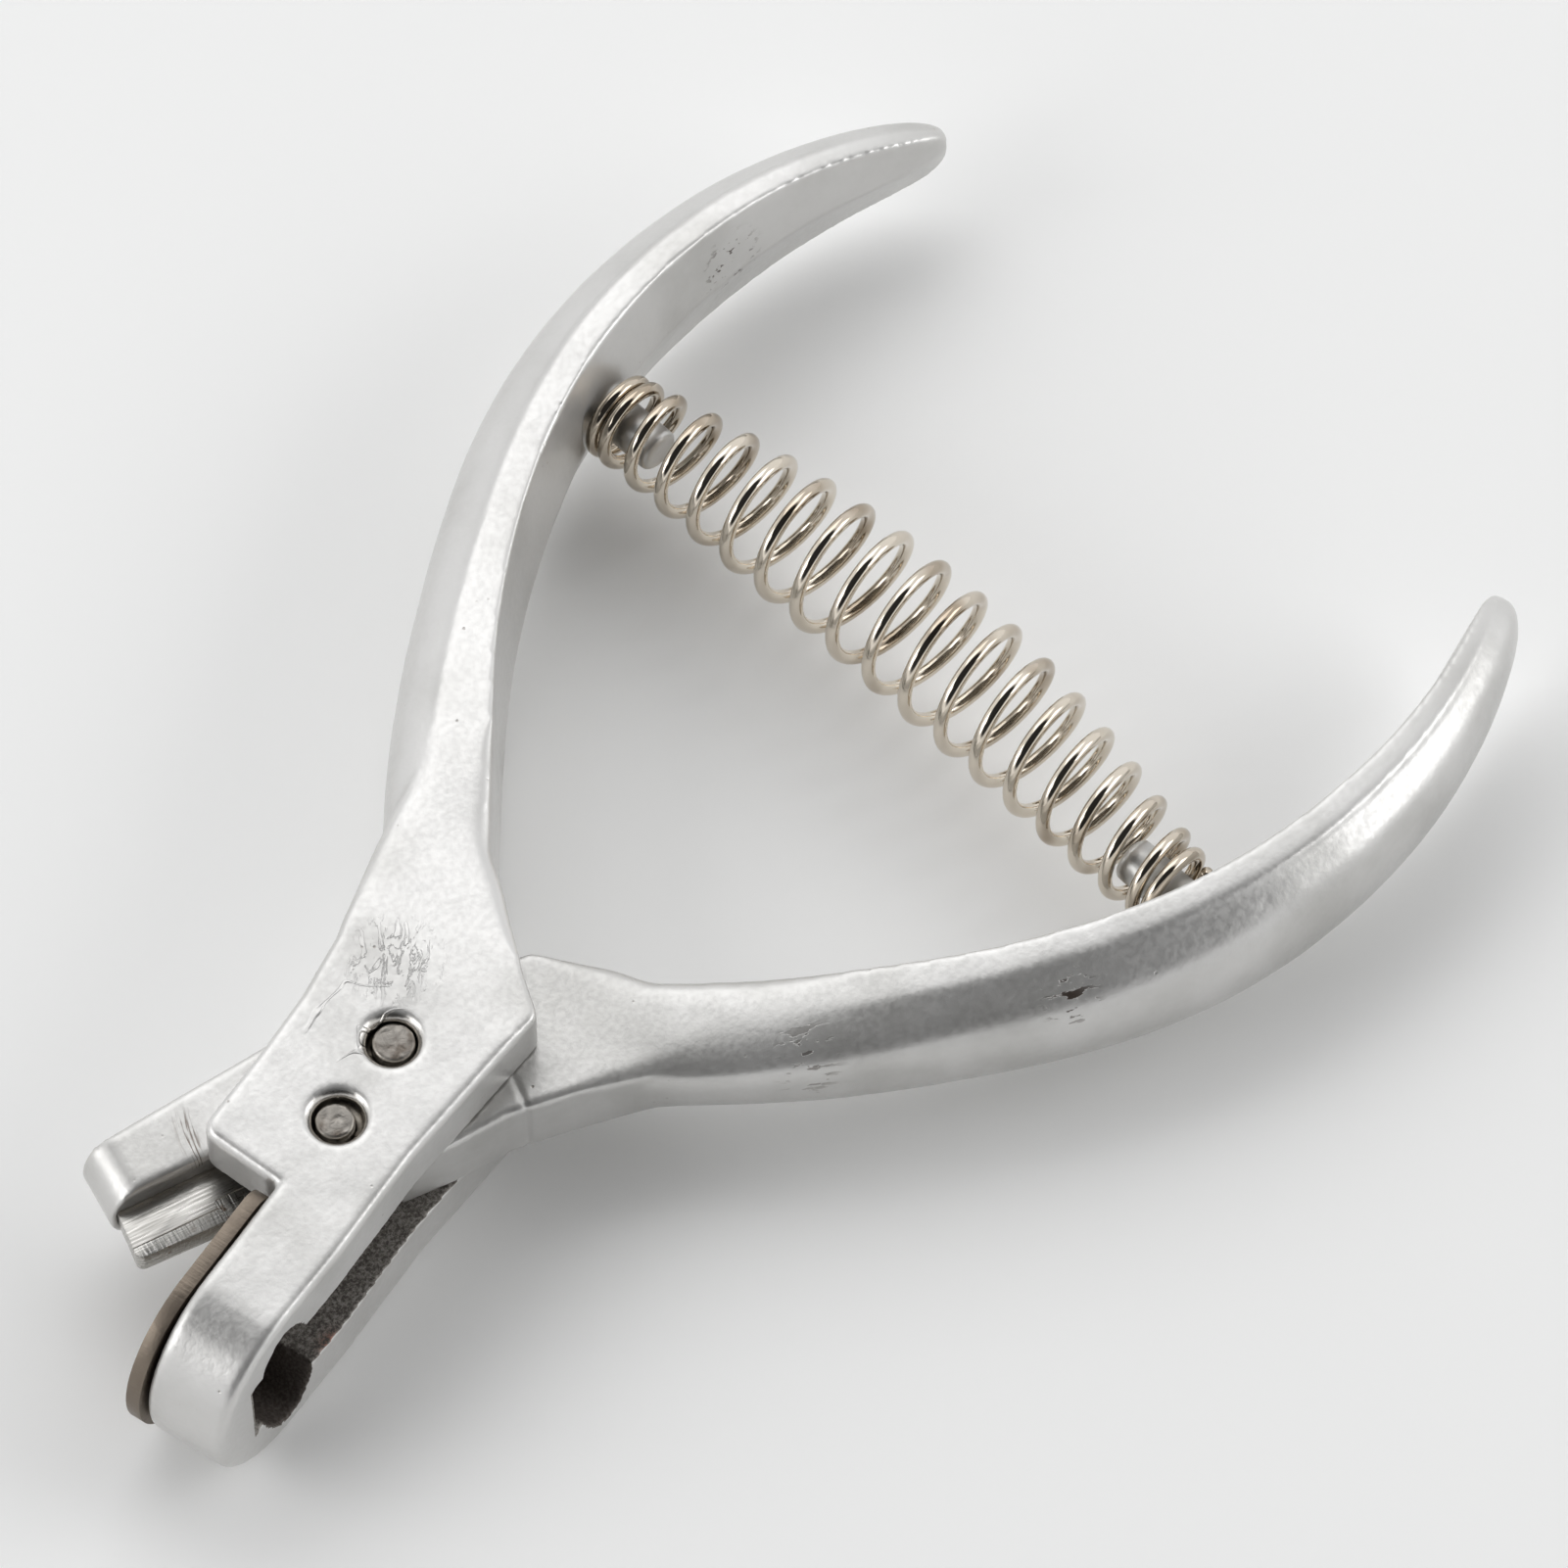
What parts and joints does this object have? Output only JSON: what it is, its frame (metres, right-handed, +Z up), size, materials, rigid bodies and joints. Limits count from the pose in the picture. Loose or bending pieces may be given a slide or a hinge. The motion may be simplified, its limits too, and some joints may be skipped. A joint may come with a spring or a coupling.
{
  "type": "slot punch pliers",
  "caption": "Hand-held slot punch: two cast levers on one pivot, a barrel return spring, a flat blade and a slotted die plate",
  "frame": {"origin": "middle of the underside of the tool as it lies on its side: bounding-box bottom centre", "axes": "+X from the jaws to the grips, +Y towards the die lever's grip, +Z up, parallel to the pivot pin"},
  "size_m": [0.1616, 0.1064, 0.022],
  "materials": {
    "silver_paint": "satin silver paint over a casting, with fine orange peel",
    "blade_steel": "ground tool steel, worn brown along the cutting edge",
    "plate_steel": "bare brown-grey tool steel, rubbed along its edges",
    "pin_steel": "dark rough cut steel pin ends",
    "spring_wire": "nickel-plated spring wire"
  },
  "bodies": {
    "die_lever_body": {"die_lever": "silver_paint", "die_plate": "plate_steel", "die_plate_rivet_upper": "pin_steel", "die_plate_rivet_lower": "pin_steel", "pivot_pin": "pin_steel", "stop_pin": "pin_steel", "return_spring": "spring_wire"},
    "punch_lever_body": {"punch_lever": "silver_paint", "punch_blade": "blade_steel", "blade_retaining_pin": "pin_steel"}
  },
  "joints": [
    {"name": "lever_pivot", "type": "hinge", "parent": "die_lever_body", "child": "punch_lever_body", "pos_m": [-0.03817, -0.0007, 0.011], "axis": [0, 0, 1], "range_deg": [0, 18], "stiffness_Nm_per_rad": 6.4, "springref_deg": -4.01, "deforming": ["return_spring"]}
  ]
}
